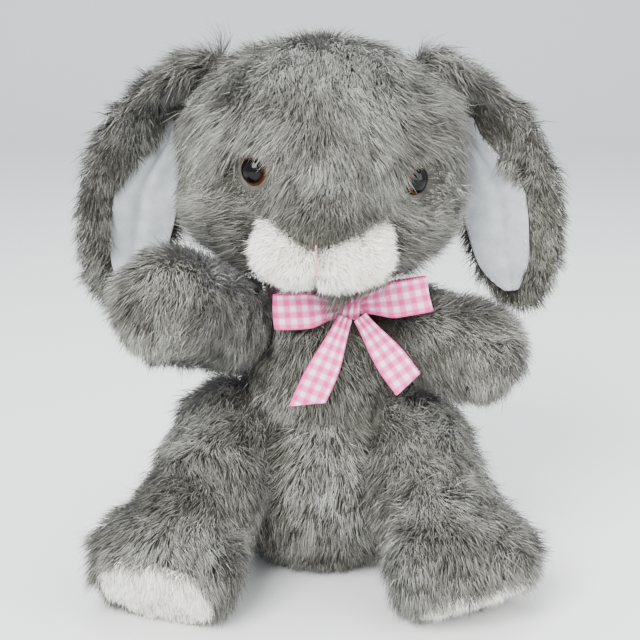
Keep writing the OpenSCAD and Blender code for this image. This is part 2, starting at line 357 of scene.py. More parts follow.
def mottled(name, dark, light, roughness, blotch, edge, grain, bump, **sockets):
    """Blotches from dark to light and a fine raised grain; blotch and grain are noise."""
    material = plain(name, light, roughness, **sockets)
    nodes = Nodes(material)
    nodes.coloured(nodes.noise(*blotch), [(edge, dark), (1 - edge, light)])
    nodes.bumped(nodes.noise(*grain), *bump)
    return material


KNIT_BACKING = {
    "roughness": 0.95, "blotch": (4.0, 4.0), "edge": 0.3, "grain": (0.6, 3.0), "bump": (0.5, 0.4),
}
SEWING_THREAD = {
    "roughness": 0.6, "blotch": (0.5, 3.0), "edge": 0.35, "grain": (0.25,), "bump": (0.4, 0.1),
    "Sheen_Weight": 0.3,
}
HARD_PLASTIC = {
    "roughness": 0.45, "blotch": (3.0,), "edge": 0.4, "grain": (0.3,), "bump": (0.1, 0.05),
}


def velour(name, dark, light):
    """Short even pile: a soft mottle, a fine grain and a pale sheen."""
    material = plain(name, light, 0.9, Sheen_Weight=0.6, Sheen_Roughness=0.45)
    nodes = Nodes(material)
    mixed = nodes.plus(nodes.times(nodes.noise(7.0, 3.0), 0.6), nodes.times(nodes.noise(0.35), 0.4))
    nodes.coloured(mixed, [(0.35, dark), (0.65, light)])
    nodes.bumped(mixed, 0.55, 0.5)
    return material


WHITE_YARN = (252, 214, 238)
PALE_YARN = (240, 122, 180)
PINK_YARN = (218, 60, 130)
CHECK = 5.2
YARN = 0.55
SELVEDGE = 0.8


def gingham(name):
    """Woven checks: white and pink warp over white and pink weft, with a dotted selvedge."""
    material = plain(name, PINK_YARN, 0.42, Sheen_Weight=0.35, Sheen_Roughness=0.3)
    nodes = Nodes(material)
    split = nodes.add("SeparateXYZ")
    nodes.link(nodes.add("Attribute", attribute_name="weave").outputs["Vector"], split.inputs[0])
    across, along = split.outputs["X"], split.outputs["Y"]

    def wave(value, pitch):
        return nodes.math("SINE", nodes.times(value, math.tau / pitch))

    def stripe(value):
        steep = nodes.times(wave(value, CHECK), 1.7)
        return nodes.math("MAXIMUM", nodes.math("MINIMUM", steep, 1.0), -1.0)

    weave = nodes.times(wave(across, YARN), wave(along, YARN))
    check = nodes.plus(nodes.times(nodes.plus(stripe(across), stripe(along)), 0.235), 0.5)
    check = nodes.plus(check, nodes.times(weave, 0.05))
    check = nodes.plus(check, nodes.times(nodes.noise(1.1), 0.06))
    edge = nodes.math("GREATER_THAN", nodes.math("ABSOLUTE", across), RIBBON_W / 2 - SELVEDGE)
    dotted = nodes.math("GREATER_THAN", wave(along, 1.3), -0.1)
    rim = nodes.times(edge, nodes.plus(0.35, nodes.times(dotted, 0.6)))
    colours = [(0.06, PINK_YARN), (0.45, PALE_YARN), (0.62, PALE_YARN), (0.96, WHITE_YARN)]
    nodes.coloured(nodes.math("SUBTRACT", check, rim), colours)
    nodes.bumped(weave, 0.5, 0.12)
    return material


def eye_plastic(name):
    """A brown iris round a black pupil under clear plastic."""
    gloss = {"Specular_IOR_Level": 0.12, "Coat_Weight": 0.12, "Coat_Roughness": 0.02}
    material = plain(name, (20, 12, 10), 0.06, **gloss)
    nodes = Nodes(material)
    radius = nodes.add("Attribute", attribute_name="radius").outputs["Fac"]
    streaks = nodes.math("SUBTRACT", nodes.times(nodes.noise(0.7, 4.0), 0.12), 0.06)
    colours = [
        (0.74, (6, 5, 5)),
        (0.80, (40, 19, 10)),
        (0.89, (92, 46, 24)),
        (0.95, (52, 25, 14)),
        (0.99, (10, 7, 6)),
    ]
    nodes.coloured(nodes.plus(nodes.math("DIVIDE", radius, EYE_R), streaks), colours)
    return material


TONES = 5


def between(dark, light, share):
    return tuple(d + (l - d) * share for d, l in zip(dark, light))


def pile_palette(name, segments):
    """Plain strand colours: for each of the strand's segments, tones from dark to light."""
    sheen = {"Sheen_Weight": 0.25, "Sheen_Roughness": 0.4}
    return [
        plain(f"{name}_{part}_{tone}", between(dark, light, tone / (TONES - 1)), 0.75, **sheen)
        for part, (dark, light) in enumerate(segments)
        for tone in range(TONES)
    ]


# The grey root segment is darker than the tips: partly the pile's darker base, partly painted shade
# of the gaps deep between strands.
GREY_SEGMENTS = [((46, 43, 36), (80, 78, 70)), ((68, 66, 58), (160, 161, 153))]
CREAM_SEGMENTS = [((226, 220, 202), (242, 238, 226)), ((240, 237, 225), (254, 253, 249))]


# ---- Stuffed skins ----

VOXEL = 3.5
MOST_SWELL = 3.0
PRESSURE = 4.0
FRAMES = 20
SHRINK = 1.2
GIVE = 0.02


def rods_mesh(name, chains, shrink=SHRINK):
    """Overlapping balls and tapered rods, ready for a voxel remesh."""
    made = bmesh.new()
    for chain in chains:
        for centre, radius in chain:
            ball = bmesh.ops.create_icosphere(made, subdivisions=4, radius=(radius - shrink) * MM)
            bmesh.ops.translate(made, verts=ball["verts"], vec=Vector(centre) * MM)
        for (a, ra), (b, rb) in zip(chain, chain[1:]):
            axis = Vector(b) - Vector(a)
            side = math.sqrt(max(axis.length_squared - (rb - ra) ** 2, 1e-6)) / axis.length
            cone = bmesh.ops.create_cone(
                made, cap_ends=True, segments=48, depth=axis.length * MM,
                radius1=(ra - shrink) * side * MM, radius2=(rb - shrink) * side * MM,
            )
            turn = Vector((0, 0, 1)).rotation_difference(axis).to_matrix()
            bmesh.ops.rotate(made, verts=cone["verts"], matrix=turn, cent=(0, 0, 0))
            bmesh.ops.translate(made, verts=cone["verts"], vec=(Vector(a) + Vector(b)) / 2 * MM)
    mesh = bpy.data.meshes.new(name)
    made.to_mesh(mesh)
    made.free()
    return mesh


def swell(piece):
    """Inflates a skin like stuffing does, by a cloth simulation with pressure and no gravity."""
    before = read_points(piece.data)
    cloth = piece.modifiers.new("stuffing", "CLOTH")
    fabric = cloth.settings
    fabric.quality = 4
    fabric.mass = 0.1
    fabric.tension_stiffness = 20
    fabric.compression_stiffness = 20
    fabric.use_pressure = True
    fabric.uniform_pressure_force = PRESSURE
    fabric.effector_weights.gravity = 0
    cloth.point_cache.frame_start = 1
    cloth.point_cache.frame_end = FRAMES
    for number in range(1, FRAMES + 1):
        scene.frame_set(number)
    settle(piece)
    scene.frame_set(1)
    move = read_points(piece.data) - before
    far = np.linalg.norm(move, axis=1, keepdims=True)
    move *= np.minimum(1, MOST_SWELL * MM / np.maximum(far, 1e-9))
    write_points(piece.data, before + move)


def stuffed(name, mesh, material, shape=None, smooth=6):
    """A closed skin from a rough mesh: remeshed, swollen, shaped, then subdivided."""
    piece = new_object(name, mesh)
    with_modifier(piece, "REMESH", mode="VOXEL", voxel_size=VOXEL * MM)
    with_modifier(piece, "SMOOTH", factor=0.5, iterations=smooth)
    swell(piece)
    if shape:
        write_points(piece.data, shape(read_points(piece.data) / MM) * MM)
    with_modifier(piece, "SUBSURF", levels=1)
    piece.data.materials.append(material)
    return piece


def above_floor(points, height=0.8):
    """Softly flattens what would go under the floor."""
    points = points.copy()
    low = points[:, 2] < height
    points[low, 2] = height + (points[low, 2] - height) * GIVE
    return points


def head_shape(points):
    """Snout, nose bridge, eye sockets and cheeks on the plain head."""
    out = points - HEAD_CENTRE
    front = smoothstep(-out[:, 1], 0, 30)[:, None]
    snout = push(points, (CREASE_X + 1, -60, 170), (13, 30, 11), (0, -15, -2))
    bridge = push(points, (4, -60, 188), (14, 30, 19), (0, -6.0, 0))
    sockets = sum(push(points, at, (8, 12, 8), (0, 2.6, 0)) for at, _ in EYES.values())
    left_cheek = push(points, (-46, -38, 160), (15, 22, 14), (-4.5, -3, -1))
    right_cheek = push(points, (48, -38, 160), (15, 22, 14), (4.5, -3, -1))
    return points + front * (snout + bridge + sockets) + (left_cheek + right_cheek)


def torso_shape(points):
    """A flat seat, a full belly and a fold across the waist."""
    outward = unit(points * (1, 1, 0))
    waist = np.exp(-0.5 * ((points[:, 2] - 72 - 3 * np.sin(points[:, 0] / 15)) / 4.5) ** 2)
    front = smoothstep(-points[:, 1], -20, 20)
    belly = bump(points, (2, -44, 42), (34, 22, 24))
    moved = points - outward * (waist * (1.5 + 2.5 * front))[:, None]
    moved[:, 1] -= 4 * belly
    for _ in range(24):
        inside = np.min([form(moved) for form in LIMBS.values()], axis=0) < 0.6
        moved[inside] -= outward[inside] * 1.5
    return above_floor(moved)


def head_mesh():
    """The plain cushion form of the head."""
    made = bmesh.new()
    bmesh.ops.create_icosphere(made, subdivisions=5, radius=1.0)
    mesh = bpy.data.meshes.new("head_skin")
    made.to_mesh(mesh)
    made.free()
    way = read_points(mesh)
    level = np.hypot(way[:, 0], way[:, 1])
    reach = (level ** HEAD_FULLNESS + np.abs(way[:, 2]) ** HEAD_FULLNESS) ** (-1 / HEAD_FULLNESS)
    size = np.array([HEAD_R, HEAD_R, HEAD_HALF]) - SHRINK
    write_points(mesh, (HEAD_CENTRE + way * reach[:, None] * size) * MM)
    return mesh


# ---- Pile: strands of fur as thin curved blades ----

# Along a blade: where its three stations are, and its width at each
STATIONS = np.array([0.0, 0.55, 1.0])
BLADE = np.array([1.0, 0.8, 0.0])
# The corners of a blade's quad and triangle, and where each face's corners start
BLADE_CORNERS = np.array([0, 1, 3, 2, 2, 3, 4])
BLADE_FACES = np.array([0, 4])
# How much of a blade's shading comes from the skin under it
SOFTNESS = 0.6
MOST_STRANDS = 65000
LOWEST_PILE = 0.15


def skin_samples(skin, density, random):
    """Evenly spread roots and their normals, in millimetres."""
    mesh = skin.data
    mesh.calc_loop_triangles()
    corners = np.zeros(len(mesh.loop_triangles) * 3, np.int32)
    mesh.loop_triangles.foreach_get("vertices", corners)
    corners = corners.reshape(-1, 3)
    points = read_points(mesh) / MM
    normals = read_points(mesh, "normal")
    a, b, c = (points[corners[:, k]] for k in range(3))
    area = np.linalg.norm(np.cross(b - a, c - a), axis=1) / 2
    count = int(area.sum() * density)
    shares = (np.arange(count) + random.random(count)) / count
    face = np.searchsorted(np.cumsum(area) / area.sum(), shares)
    face = np.minimum(face, len(corners) - 1)
    u, v = random.random((2, count))
    over = u + v > 1
    u[over], v[over] = 1 - u[over], 1 - v[over]
    share = np.stack([1 - u - v, u, v], axis=1)[:, :, None]
    return (points[corners[face]] * share).sum(1), unit((normals[corners[face]] * share).sum(1))


def nearest_clump(roots, spacing, random):
    """The clumps' centres, and for each root the index of the nearest."""
    count = max(4, int(len(roots) / (spacing * spacing)))
    centres = random.choice(len(roots), count, replace=False)
    tree = KDTree(count)
    for i, at in enumerate(roots[centres]):
        tree.insert(at, i)
    tree.balance()
    return centres, np.array([tree.find(p)[1] for p in roots])


def blade_mesh(name, paths, sides, widths, tones, normals, palette):
    """One mesh of blades: a quad and a pointed end each, facing out from the skin."""
    count = len(paths)
    facing = np.cross(sides, paths[:, 2] - paths[:, 0])
    turned = dots(facing, normals) < 0
    sides = np.where(turned, -sides, sides)
    shading = unit(normals * SOFTNESS + unit(np.where(turned, -facing, facing)) * (1 - SOFTNESS))
    half = sides[:, None, :] * (widths[:, None] * BLADE[None, :])[:, :, None] / 2
    left, right = paths - half, paths + half
    points = np.stack([left[:, 0], right[:, 0], left[:, 1], right[:, 1], paths[:, 2]], axis=1)
    points[:, :, 2] = np.maximum(points[:, :, 2], LOWEST_PILE)
    per_strand = points.shape[1]
    loops = (np.arange(count) * per_strand)[:, None] + BLADE_CORNERS
    starts = (np.arange(count) * len(BLADE_CORNERS))[:, None] + BLADE_FACES
    slots = tones[:, None] + np.arange(len(BLADE_FACES)) * TONES
    mesh = bpy.data.meshes.new(name)
    mesh.vertices.add(points.shape[0] * per_strand)
    mesh.vertices.foreach_set("co", (points * MM).astype(np.float32).ravel())
    mesh.loops.add(loops.size)
    mesh.loops.foreach_set("vertex_index", loops.astype(np.int32).ravel())
    mesh.polygons.add(starts.size)
    mesh.polygons.foreach_set("loop_start", starts.astype(np.int32).ravel())
    mesh.polygons.foreach_set("material_index", slots.astype(np.int32).ravel())
    mesh.update(calc_edges=True)
    mesh.shade_smooth()
    soft = np.repeat(shading, per_strand, axis=0)
    point_values(mesh, "custom_normal", "FLOAT_VECTOR", "vector", soft)
    for material in palette:
        mesh.materials.append(material)
    return mesh


def pile(name, skin, body, slot, fur, flow, keep=None, seed=1, shade=None):
    """Covers a skin with strands.

    fur is a coat, see GREY and CREAM. flow(points, normals) gives the way the pile is brushed.
    keep(points, normals) scales the strands' length, and is 0 where the skin is bare.
    shade(points) is added to the tone, and is negative where the pile is darker.
    """
    random = np.random.default_rng(seed)
    roots, normals = skin_samples(skin, fur["density"], random)
    grown = np.ones(len(roots)) if keep is None else keep(roots, normals)
    there = grown > 0.05
    roots, normals, grown = roots[there], normals[there], grown[there]
    if len(roots) > MOST_STRANDS:
        chosen = np.sort(random.choice(len(roots), MOST_STRANDS, replace=False))
        roots, normals, grown = roots[chosen], normals[chosen], grown[chosen]
    count = len(roots)

    brushed = flow(roots, normals)
    brushed -= dots(brushed, normals) * normals
    swirl = noise_vectors(roots, fur["clump"] * 3.4, seed) * 0.8
    swirl += noise_vectors(roots, fur["clump"] * 1.2, seed + 9) * 0.7
    brushed = unit(brushed) + swirl * fur["frizz"]
    jitter = random.normal(0, 1, (count, 3))
    rise = normals * fur["lift"]
    droop = np.array([0, 0, -fur["droop"]])
    first = unit(rise + brushed * fur["lean"] * 0.45 + jitter * 0.16)
    last = unit(rise * 0.4 + brushed * fur["lean"] + jitter * 0.26 + droop)

    centres, mine = nearest_clump(roots, fur["clump"] * math.sqrt(fur["density"]), random)
    clump_length = random.normal(1, 0.12, len(centres))[mine]
    strand_length = np.clip(random.normal(1, 0.16, count), 0.5, 1.5)
    length = fur["length"] * grown * clump_length * strand_length
    t = STATIONS[None, :, None]
    bend = first[:, None] * (t - t * t / 2) + last[:, None] * t * t / 2
    paths = roots[:, None] + length[:, None, None] * bend
    tip_of_clump = paths[centres[mine], -1] + (roots - roots[centres[mine]]) * 0.25
    pull = fur["pull"] * random.random(count)[:, None, None]
    gather = (tip_of_clump - paths[:, -1])[:, None] * pull * t * t
    paths += gather * np.minimum(1, grown)[:, None, None]

    middle = unit(paths[:, -1] - paths[:, 0])
    sides = unit(unit(np.cross(middle, normals)) + random.normal(0, 0.45, (count, 3)))
    sides = unit(sides - dots(sides, middle) * middle)
    widths = fur["width"] * np.clip(random.normal(1, 0.2, count), 0.5, 1.6)

    mottle = 0.47 + 0.26 * lattice_noise(roots, 17, seed + 20)
    mottle += 0.2 * lattice_noise(roots, 5, seed + 21)
    mottle += random.normal(0, 0.06, len(centres))[mine] + random.normal(0, 0.2, count)
    if shade:
        mottle += shade(roots)
    tones = np.clip((mottle * TONES).astype(int), 0, TONES - 1)
    mesh = blade_mesh(name, paths, sides, widths, tones, normals, fur["palette"])
    declare(new_object(name, mesh), body, slot)


def fixed_flow(*way):
    return lambda points, normals: np.tile(np.array(way, float), (len(points), 1))


def head_flow(points, normals):
    """Forward over the crown, down the brow, out over the cheeks and away from the eyes."""
    out = points - HEAD_CENTRE
    x = out[:, 0] / HEAD_R
    crown = smoothstep(out[:, 2], 15, 45)
    front = smoothstep(-out[:, 1], -10, 25)
    bridge = bump(points, (4, -60, 196), (17, 40, 30))
    cheek = front * smoothstep(-points[:, 2], -186, -168) * smoothstep(np.abs(x), 0.1, 0.35)
    way = np.zeros_like(points)
    way[:, 0] = (1.3 * x + 1.9 * np.sign(x) * cheek) * (1 - 0.9 * bridge)
    way[:, 1] = -1.2 * crown * front + 0.4 * crown * (1 - front)
    way[:, 2] = -1.0 + 0.25 * np.abs(x) + 0.55 * cheek
    for at, _ in EYES.values():
        away = points - np.array(at)
        gap = np.linalg.norm(away, axis=1, keepdims=True)
        way += unit(away) * (1 - smoothstep(gap, EYE_R, EYE_R + 7)) * 2.2
    return way


def torso_flow(points, normals):
    """Outward and down from the middle of the chest, straight down on the belly."""
    way = np.zeros_like(points)
    way[:, 0] = 0.9 * points[:, 0] / 40 * smoothstep(points[:, 2], 30, 90)
    way[:, 2] = -1
    return way


def limb_flow(joint, end, sag=0.8):
    """Along the limb towards its end, and over the end like a thatch."""
    a, b = np.array(joint[0], float), np.array(end[0], float)
    axis = unit(b - a)

    def flow(points, normals):
        near_end = smoothstep((points - b) @ axis, -10, 14)[:, None]
        away = points - b
        away = away - dots(away, axis) * axis
        return axis * (1 - 0.6 * near_end) + unit(away) * near_end * 0.4 + np.array([0, 0, -sag])

    return flow


def clear_of(points, forms, start, full):
    """0 inside other forms and 1 well clear of them."""
    return np.min([smoothstep(form(points), start, full) for form in forms], axis=0)


def rod_form(start, end):
    return lambda points: rod_distance(points, start, end)


def chain_form(chain):
    return lambda points: chain_distance(points, chain)


LIMBS = {
    "arm_left": rod_form(SHOULDER_LEFT, PAW_LEFT),
    "arm_right": rod_form(SHOULDER_RIGHT, PAW_RIGHT),
    "leg_left": rod_form(HIP_LEFT, FOOT_LEFT[1]),
    "leg_right": rod_form(HIP_RIGHT, FOOT_RIGHT[1]),
}
BODY_FORMS = [rod_form(BELLY, CHEST), rod_form(CHEST, NECK)]


def coat(base, **changes):
    return {**base, **changes}


# Coats of pile. density is strands per square millimetre, length and width are in millimetres,
# clump is the clumps' spacing in millimetres, and pull is how far tips gather in a clump.
GREY = {
    "density": 1.9, "length": 11.0, "width": 0.36, "lift": 0.55, "lean": 1.0, "droop": 0.15,
    "frizz": 0.7, "clump": 5.5, "pull": 0.5, "palette": pile_palette("grey_pile", GREY_SEGMENTS),
}
CREAM = {
    "density": 6.5, "length": 5.2, "width": 0.34, "lift": 0.95, "lean": 0.6, "droop": 0.1,
    "frizz": 0.4, "clump": 3.5, "pull": 0.3, "palette": pile_palette("cream_pile", CREAM_SEGMENTS),
}

# The grey ground is dark: partly the backing's own colour, partly painted shade of the depths of
# the pile.
GROUND = mottled("pile_ground", (52, 50, 45), (84, 82, 76), **KNIT_BACKING)
CREAM_GROUND = mottled("cream_ground", (196, 188, 170), (226, 220, 206), **KNIT_BACKING)
# Painted shade: the white velour is coloured blue-grey, as it looks in shade inside the ear.
LINING = velour("ear_velour", (152, 157, 161), (181, 185, 188))
GINGHAM = gingham("gingham_ribbon")
PINK_THREAD = mottled("pink_thread", (178, 116, 106), (218, 162, 150), **SEWING_THREAD)
WHITE_THREAD = mottled("white_thread", (196, 196, 196), (236, 236, 234), **SEWING_THREAD)


# ---- Head ----

def eye_room(points):
    """1 away from the eyes, falling to nothing over their domes."""
    room = np.ones(len(points))
    for at, _ in EYES.values():
        gap = np.linalg.norm(points - np.array(at), axis=1)
        room = np.minimum(room, smoothstep(gap, EYE_R, EYE_R + 8.5))
    return room


def pad_room(points):
    return clear_of(points, [chain_form(pad) for pad in PADS.values()], -3.0, 0.5)


FACE_DEPTH = -18


def make_head():
    skin = stuffed("head_skin", head_mesh(), GROUND, head_shape, smooth=2)
    declare(skin, "head", "fur", "head_shell", "head_filling", fill=0.8)

    def snout(points):
        return bump(points, (CREASE_X + 1, -74, 169), (14, 24, 12))

    def grown(points):
        neck = smoothstep(rod_distance(points, CHEST, NECK), 0, 8)
        beside_ears = sum(bump(points, (x, -12, 208), (12, 24, 16)) for x in (-50, 52))
        long = (1 - 0.62 * snout(points)) * (1 + 0.35 * beside_ears)
        return long * eye_room(points) * pad_room(points) * neck

    def chin(points, normals):
        return (bump(points, (22, -45, 144), (12, 13, 8)) > 0.4) * pad_room(points)

    # Painted light: the pile on top of the head is lightened to make up for the dark roots seen
    # end-on there; the pile on the snout is darker.
    def shade(points):
        return 0.25 * smoothstep(points[:, 2], 212, 230) - 0.25 * snout(points)

    def face(points, normals):
        return grown(points) * (points[:, 1] < FACE_DEPTH)

    def crown(points, normals):
        return grown(points) * (points[:, 1] >= FACE_DEPTH)

    fine = coat(GREY, density=4.0, length=12.5, width=0.3, frizz=0.5, lift=0.42)
    pile("face_fur", skin, "head", "fur", fine, head_flow, face, seed=11, shade=shade)
    plain_coat = coat(GREY, density=2.2, lift=0.42)
    pile("crown_fur", skin, "head", "fur", plain_coat, head_flow, crown, seed=12)
    fringe = coat(GREY, density=3.0, length=23, lift=0.35, droop=0.5, frizz=0.35)
    pile("chin_fur", skin, "head", "fur", fringe, fixed_flow(0, -0.35, -1), chin, seed=13)


def pad_shape(side):
    """Keeps a pad on its own side of the crease."""
    sign = 1 if side == "right" else -1

    def shape(points):
        points = points.copy()
        over = (points[:, 0] - CREASE_X) * sign < 0.4
        points[over, 0] = CREASE_X + sign * 0.4
        return points

    return shape


def pad_flow(points, normals):
    way = np.zeros_like(points)
    way[:, 0] = 0.09 * (points[:, 0] - CREASE_X)
    way[:, 2] = -1
    return way


def make_muzzle(side, seed):
    node = f"muzzle_{side}"
    rough = rods_mesh(node, [PADS[side]], 1.6)
    skin = stuffed(f"{node}_pad", rough, CREAM_GROUND, pad_shape(side), smooth=3)
    declare(skin, "head", "cream_plush", node, fill=0.9)

    def keep(points, normals):
        crease = smoothstep(np.abs(points[:, 0] - CREASE_X), 0.2, 2.5)
        return (0.5 + 0.5 * crease) * (head_distance(points) > -3)

    pile(f"{node}_fur", skin, "head", "cream_plush", CREAM, pad_flow, keep, seed)


def tube_rings(line, first, second, radii, angles, twist=0.0):
    """Rings round a line; first and second are the directions across it."""
    return [
        p + np.outer(np.cos(angles + twist * i) * radii, u)
        + np.outer(np.sin(angles + twist * i) * radii, v)
        for i, (p, u, v) in enumerate(zip(line, first, second))
    ]


def make_muzzle_thread():
    """A twisted thread in the crease between the pads."""
    reach = 15.2
    path = np.array([
        (CREASE_X + 0.15 * math.sin(7 * a), -62 + reach * math.sin(a), 152.5 - reach * math.cos(a))
        for a in np.radians(np.linspace(240, 288, 30))
    ])
    ahead = unit(np.gradient(path, axis=0))
    first = unit(np.cross(ahead, (0.31, 0.52, 0.79)))
    angles = np.arange(8) / 8 * math.tau
    radii = 0.32 * (1 + 0.18 * np.cos(2 * angles))
    rings = tube_rings(path, first, np.cross(ahead, first), radii, angles, twist=0.6)
    piece = smooth_object("muzzle_thread", *loft(rings), PINK_THREAD)
    declare(piece, "head", "pink_thread", "muzzle_seam")


EYE_SIDES = 40


def make_eye(side, material):
    """A domed eye with its rim and shank, as a lathe about the way it faces."""
    at, out = EYES[side]
    ball = (EYE_R ** 2 + EYE_DOME ** 2) / (2 * EYE_DOME)
    slopes = np.linspace(0.02, math.asin(EYE_R / ball), 16)
    profile = [(ball * math.sin(a), EYE_DOME - ball + ball * math.cos(a)) for a in slopes]
    profile += [(EYE_R + 0.12, -0.25), (EYE_R - 0.2, -0.9), (2.0, -1.2), (2.0, -9.5), (0.4, -9.8)]
    turn = Vector((0, 0, 1)).rotation_difference(Vector(out)).to_matrix()
    angles = np.linspace(0, math.tau, EYE_SIDES, False)
    rings = []
    for radius, height in profile[::-1]:
        ring = [Vector((radius * math.cos(a), radius * math.sin(a), height)) for a in angles]
        rings.append(np.array([turn @ p + Vector(at) for p in ring]))
    piece = smooth_object(f"eye_{side}_dome", *loft(rings), material)
    radii = np.repeat([radius for radius, _ in profile[::-1]], EYE_SIDES)
    point_values(piece.data, "radius", "FLOAT", "value", radii)
    declare(piece, "head", "eye_plastic", f"eye_{side}")


# ---- Ears ----

EAR_ROWS = 44
WIDEST = 21.5
# The rows of the ear between which its lining lies
LINING_FIRST = 12
LINING_LAST = 42


def ear_line(side):
    """Centres, across and front directions, and half widths down an ear."""
    centres = np.array([s[0] for s in EAR_STATIONS], float)
    turns = np.radians([s[1] for s in EAR_STATIONS])
    halves = np.array([s[2] for s in EAR_STATIONS], float)
    steps = steps_along(centres)
    at = np.linspace(0, steps[-1], EAR_ROWS)

    def eased(values):
        fine = np.interp(at, steps, values)
        for _ in range(6):
            fine[1:-1] = (fine[:-2] + 2 * fine[1:-1] + fine[2:]) / 4
        return fine

    line = np.stack([eased(centres[:, k]) for k in range(3)], axis=1)
    turn, half = eased(turns), eased(halves)
    from_tip = np.clip((steps[-1] - at) / 16, 0, 1)
    half = np.minimum(half, WIDEST) * np.sqrt(1 - (1 - from_tip) ** 2 * 0.98)
    tangent = unit(np.gradient(line, axis=0))
    across = np.stack([-np.sin(turn), -np.cos(turn), np.zeros_like(turn)], axis=1)
    across = unit(across - dots(across, tangent) * tangent)
    front = np.cross(across, tangent)
    if side == "right":
        flip = np.array([-1, 1, 1])
        line, across, front, tangent = line * flip, across * flip, front * flip, tangent * flip
    return line, across, front, tangent, half


def ear_place(ear, row, v, lift):
    """A point on an ear, v from -1 to 1 across, lift in millimetres towards its front."""
    line, across, front, _, half = ear
    bowl = EAR_CURL * half[row] * v * v
    return line[row] + across[row] * half[row] * v + front[row] * (bowl + lift)


def nearest_row(points, line):
    return ((points[:, None] - line[None]) ** 2).sum(2).argmin(1)


def ribbon_of(name, rows, thickness, material, coordinates=None):
    """A sheet with real thickness through rows of points, with its own rounded edge loop."""
    rows = np.asarray(rows, float)
    count = rows.shape[1]
    normals = unit(np.cross(np.gradient(rows, axis=0), np.gradient(rows, axis=1)))
    top, under = rows + normals * thickness / 2, rows - normals * thickness / 2
    rings = [np.concatenate([top[i], under[i][::-1]]) for i in range(len(rows))]
    points, faces = loft(rings, caps=False)
    for row, order in ((0, 1), (len(rows) - 1, -1)):
        for k in range(count - 1):
            base = row * 2 * count
            quad = (base + k, base + k + 1, base + 2 * count - 2 - k, base + 2 * count - 1 - k)
            faces.append(quad[::order])
    piece = smooth_object(name, points, faces, material)
    if coordinates is not None:
        both = np.concatenate([coordinates, coordinates[:, ::-1]], axis=1).reshape(-1, 2)
        both = np.concatenate([both, np.zeros((len(both), 1))], axis=1)
        point_values(piece.data, "weave", "FLOAT_VECTOR", "vector", both)
    fix_normals(piece)
    return piece


def fix_normals(piece):
    made = bmesh.new()
    made.from_mesh(piece.data)
    bmesh.ops.recalc_face_normals(made, faces=made.faces)
    made.to_mesh(piece.data)
    made.free()


def make_ear(side, seed):
    ear = ear_line(side)
    line, across, front, tangent, half = ear
    body = f"ear_{side}"

    rings = []
    for row in range(EAR_ROWS):
        depth = min(2.1, 0.35 * half[row])
        angles = np.linspace(0, math.tau, 36, False)
        ring = [ear_place(ear, row, math.cos(a), -2.2 + depth * math.sin(a)) for a in angles]
        rings.append(np.array(ring))
    skin = smooth_object(f"{body}_skin", *loft(rings), GROUND)
    fix_normals(skin)
    declare(skin, body, "fur", f"{body}_back", fill=0.2)

    edges = np.array([lining_edges(row) for row in range(EAR_ROWS)])

    def keep(points, normals):
        row = nearest_row(points, line)
        facing = dots(normals, front[row])[:, 0]
        v = dots(points - line[row], across[row])[:, 0] / np.maximum(half[row], 1)
        lined = (facing > 0.3) & (v > edges[row, 0] - 0.05) & (v < edges[row, 1] - 0.02)
        root = 1 - smoothstep(row.astype(float), 2, 13)
        return ~lined * (1 - 0.25 * (facing > 0.3) + 0.5 * root)

    def flow(points, normals):
        row = nearest_row(points, line)
        side_of = dots(points - line[row], across[row]) / np.maximum(half[row][:, None], 1)
        return tangent[row] + across[row] * side_of * 0.55 + front[row] * 0.1

    size = {"density": 3.6, "length": 10.5, "width": 0.32, "clump": 4.5}
    short = coat(GREY, frizz=0.9, droop=0.25, lift=0.6, **size)
    pile(f"{body}_fur", skin, body, "fur", short, flow, keep, seed)
    make_lining(ear, body)


def lining_edges(row):
    """The inner and outer edge of the lining across the ear: a leaf that is pointed at its top."""
    share = (row - LINING_FIRST) / (LINING_LAST - LINING_FIRST)
    if not 0 < share < 1:
        return 0.0, 0.0
    inner = -0.93 + 0.5 * max(0.0, 1 - share / 0.2) ** 2
    width = 1.36 * min(1.0, share / 0.45) ** 0.8
    rounding = 1 - math.sqrt(1 - max(0.0, (share - 0.8) / 0.2) ** 2)
    return inner + width * 0.35 * rounding, inner + width * (1 - 0.6 * rounding)


def make_lining(ear, body):
    """The velour face of an ear, with a crease down it, and the stitches round its edge."""
    shares = np.linspace(0, 1, 20)
    rows = []
    for row in range(LINING_FIRST + 1, LINING_LAST):
        inner, outer = lining_edges(row)
        spans = inner + (outer - inner) * shares
        places = np.array([ear_place(ear, row, v, 0) for v in spans])
        near_top = min(1.0, (row - LINING_FIRST) / 8)
        crease = -1.0 * np.exp(-((shares - 0.55) / 0.09) ** 2) * near_top
        near_edge = smoothstep(np.abs(shares - 0.5), 0.32, 0.5)
        pucker = 0.35 * np.cos(shares * 34 + row * 0.9) * near_edge
        soft = lattice_noise(places, 9, 5) * 0.7
        rise = 1.4 + 1.4 * np.sin(np.pi * shares) + crease + pucker + soft
        rows.append([ear_place(ear, row, v, lift) for v, lift in zip(spans, rise)])
    rows = np.array(rows)
    piece = ribbon_of(f"{body}_velour", rows, 0.9, LINING)
    with_modifier(piece, "SUBSURF", levels=1)
    declare(piece, body, "ear_lining", f"{body}_lining")
    make_stitches(f"{body}_stitches", rows, body)


